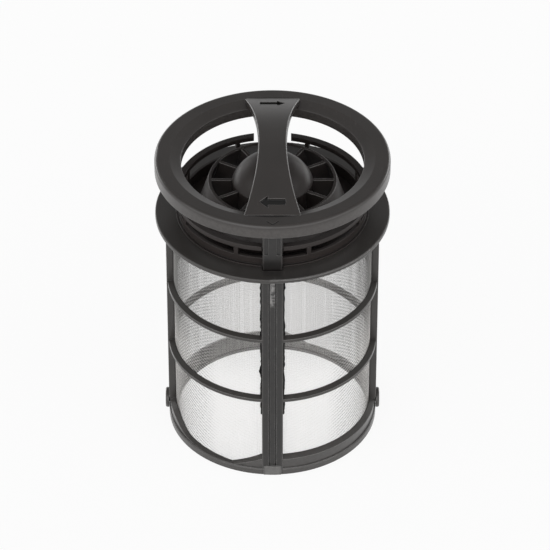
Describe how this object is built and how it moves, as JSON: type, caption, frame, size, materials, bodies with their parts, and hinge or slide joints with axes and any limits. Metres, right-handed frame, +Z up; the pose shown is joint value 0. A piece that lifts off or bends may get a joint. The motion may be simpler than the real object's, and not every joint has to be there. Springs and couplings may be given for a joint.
{
  "type": "dishwasher micro-filter",
  "caption": "Cylindrical dishwasher sump micro-filter: gauze sleeve in a ribbed frame with a bayonet rim, and a lift-out coarse strainer with an arched handle ring",
  "frame": {"origin": "centre of the cam rim in its floor plane", "axes": "+Z up the cylinder's axis, -Y towards the seam rib and front tongue, +X towards one bayonet stud"},
  "size_m": [0.0856, 0.0854, 0.1237],
  "materials": {
    "frame_plastic": "fine-textured dark grey polypropylene, slightly shiny on edges",
    "gauze": "fine woven synthetic gauze, translucent light grey",
    "strainer_plastic": "smooth dark grey polypropylene",
    "handle_plastic": "satin dark grey polypropylene with lighter worn edges"
  },
  "bodies": {
    "cylinder": {"filter_frame": "frame_plastic", "mesh_sleeve": "gauze"},
    "insert": {"handle_ring": "handle_plastic", "coarse_strainer": "strainer_plastic"}
  },
  "joints": [
    {"name": "lift_out", "type": "slide", "parent": "cylinder", "child": "insert", "axis": [0, 0, 1], "range_m": [0, 0.045]}
  ]
}
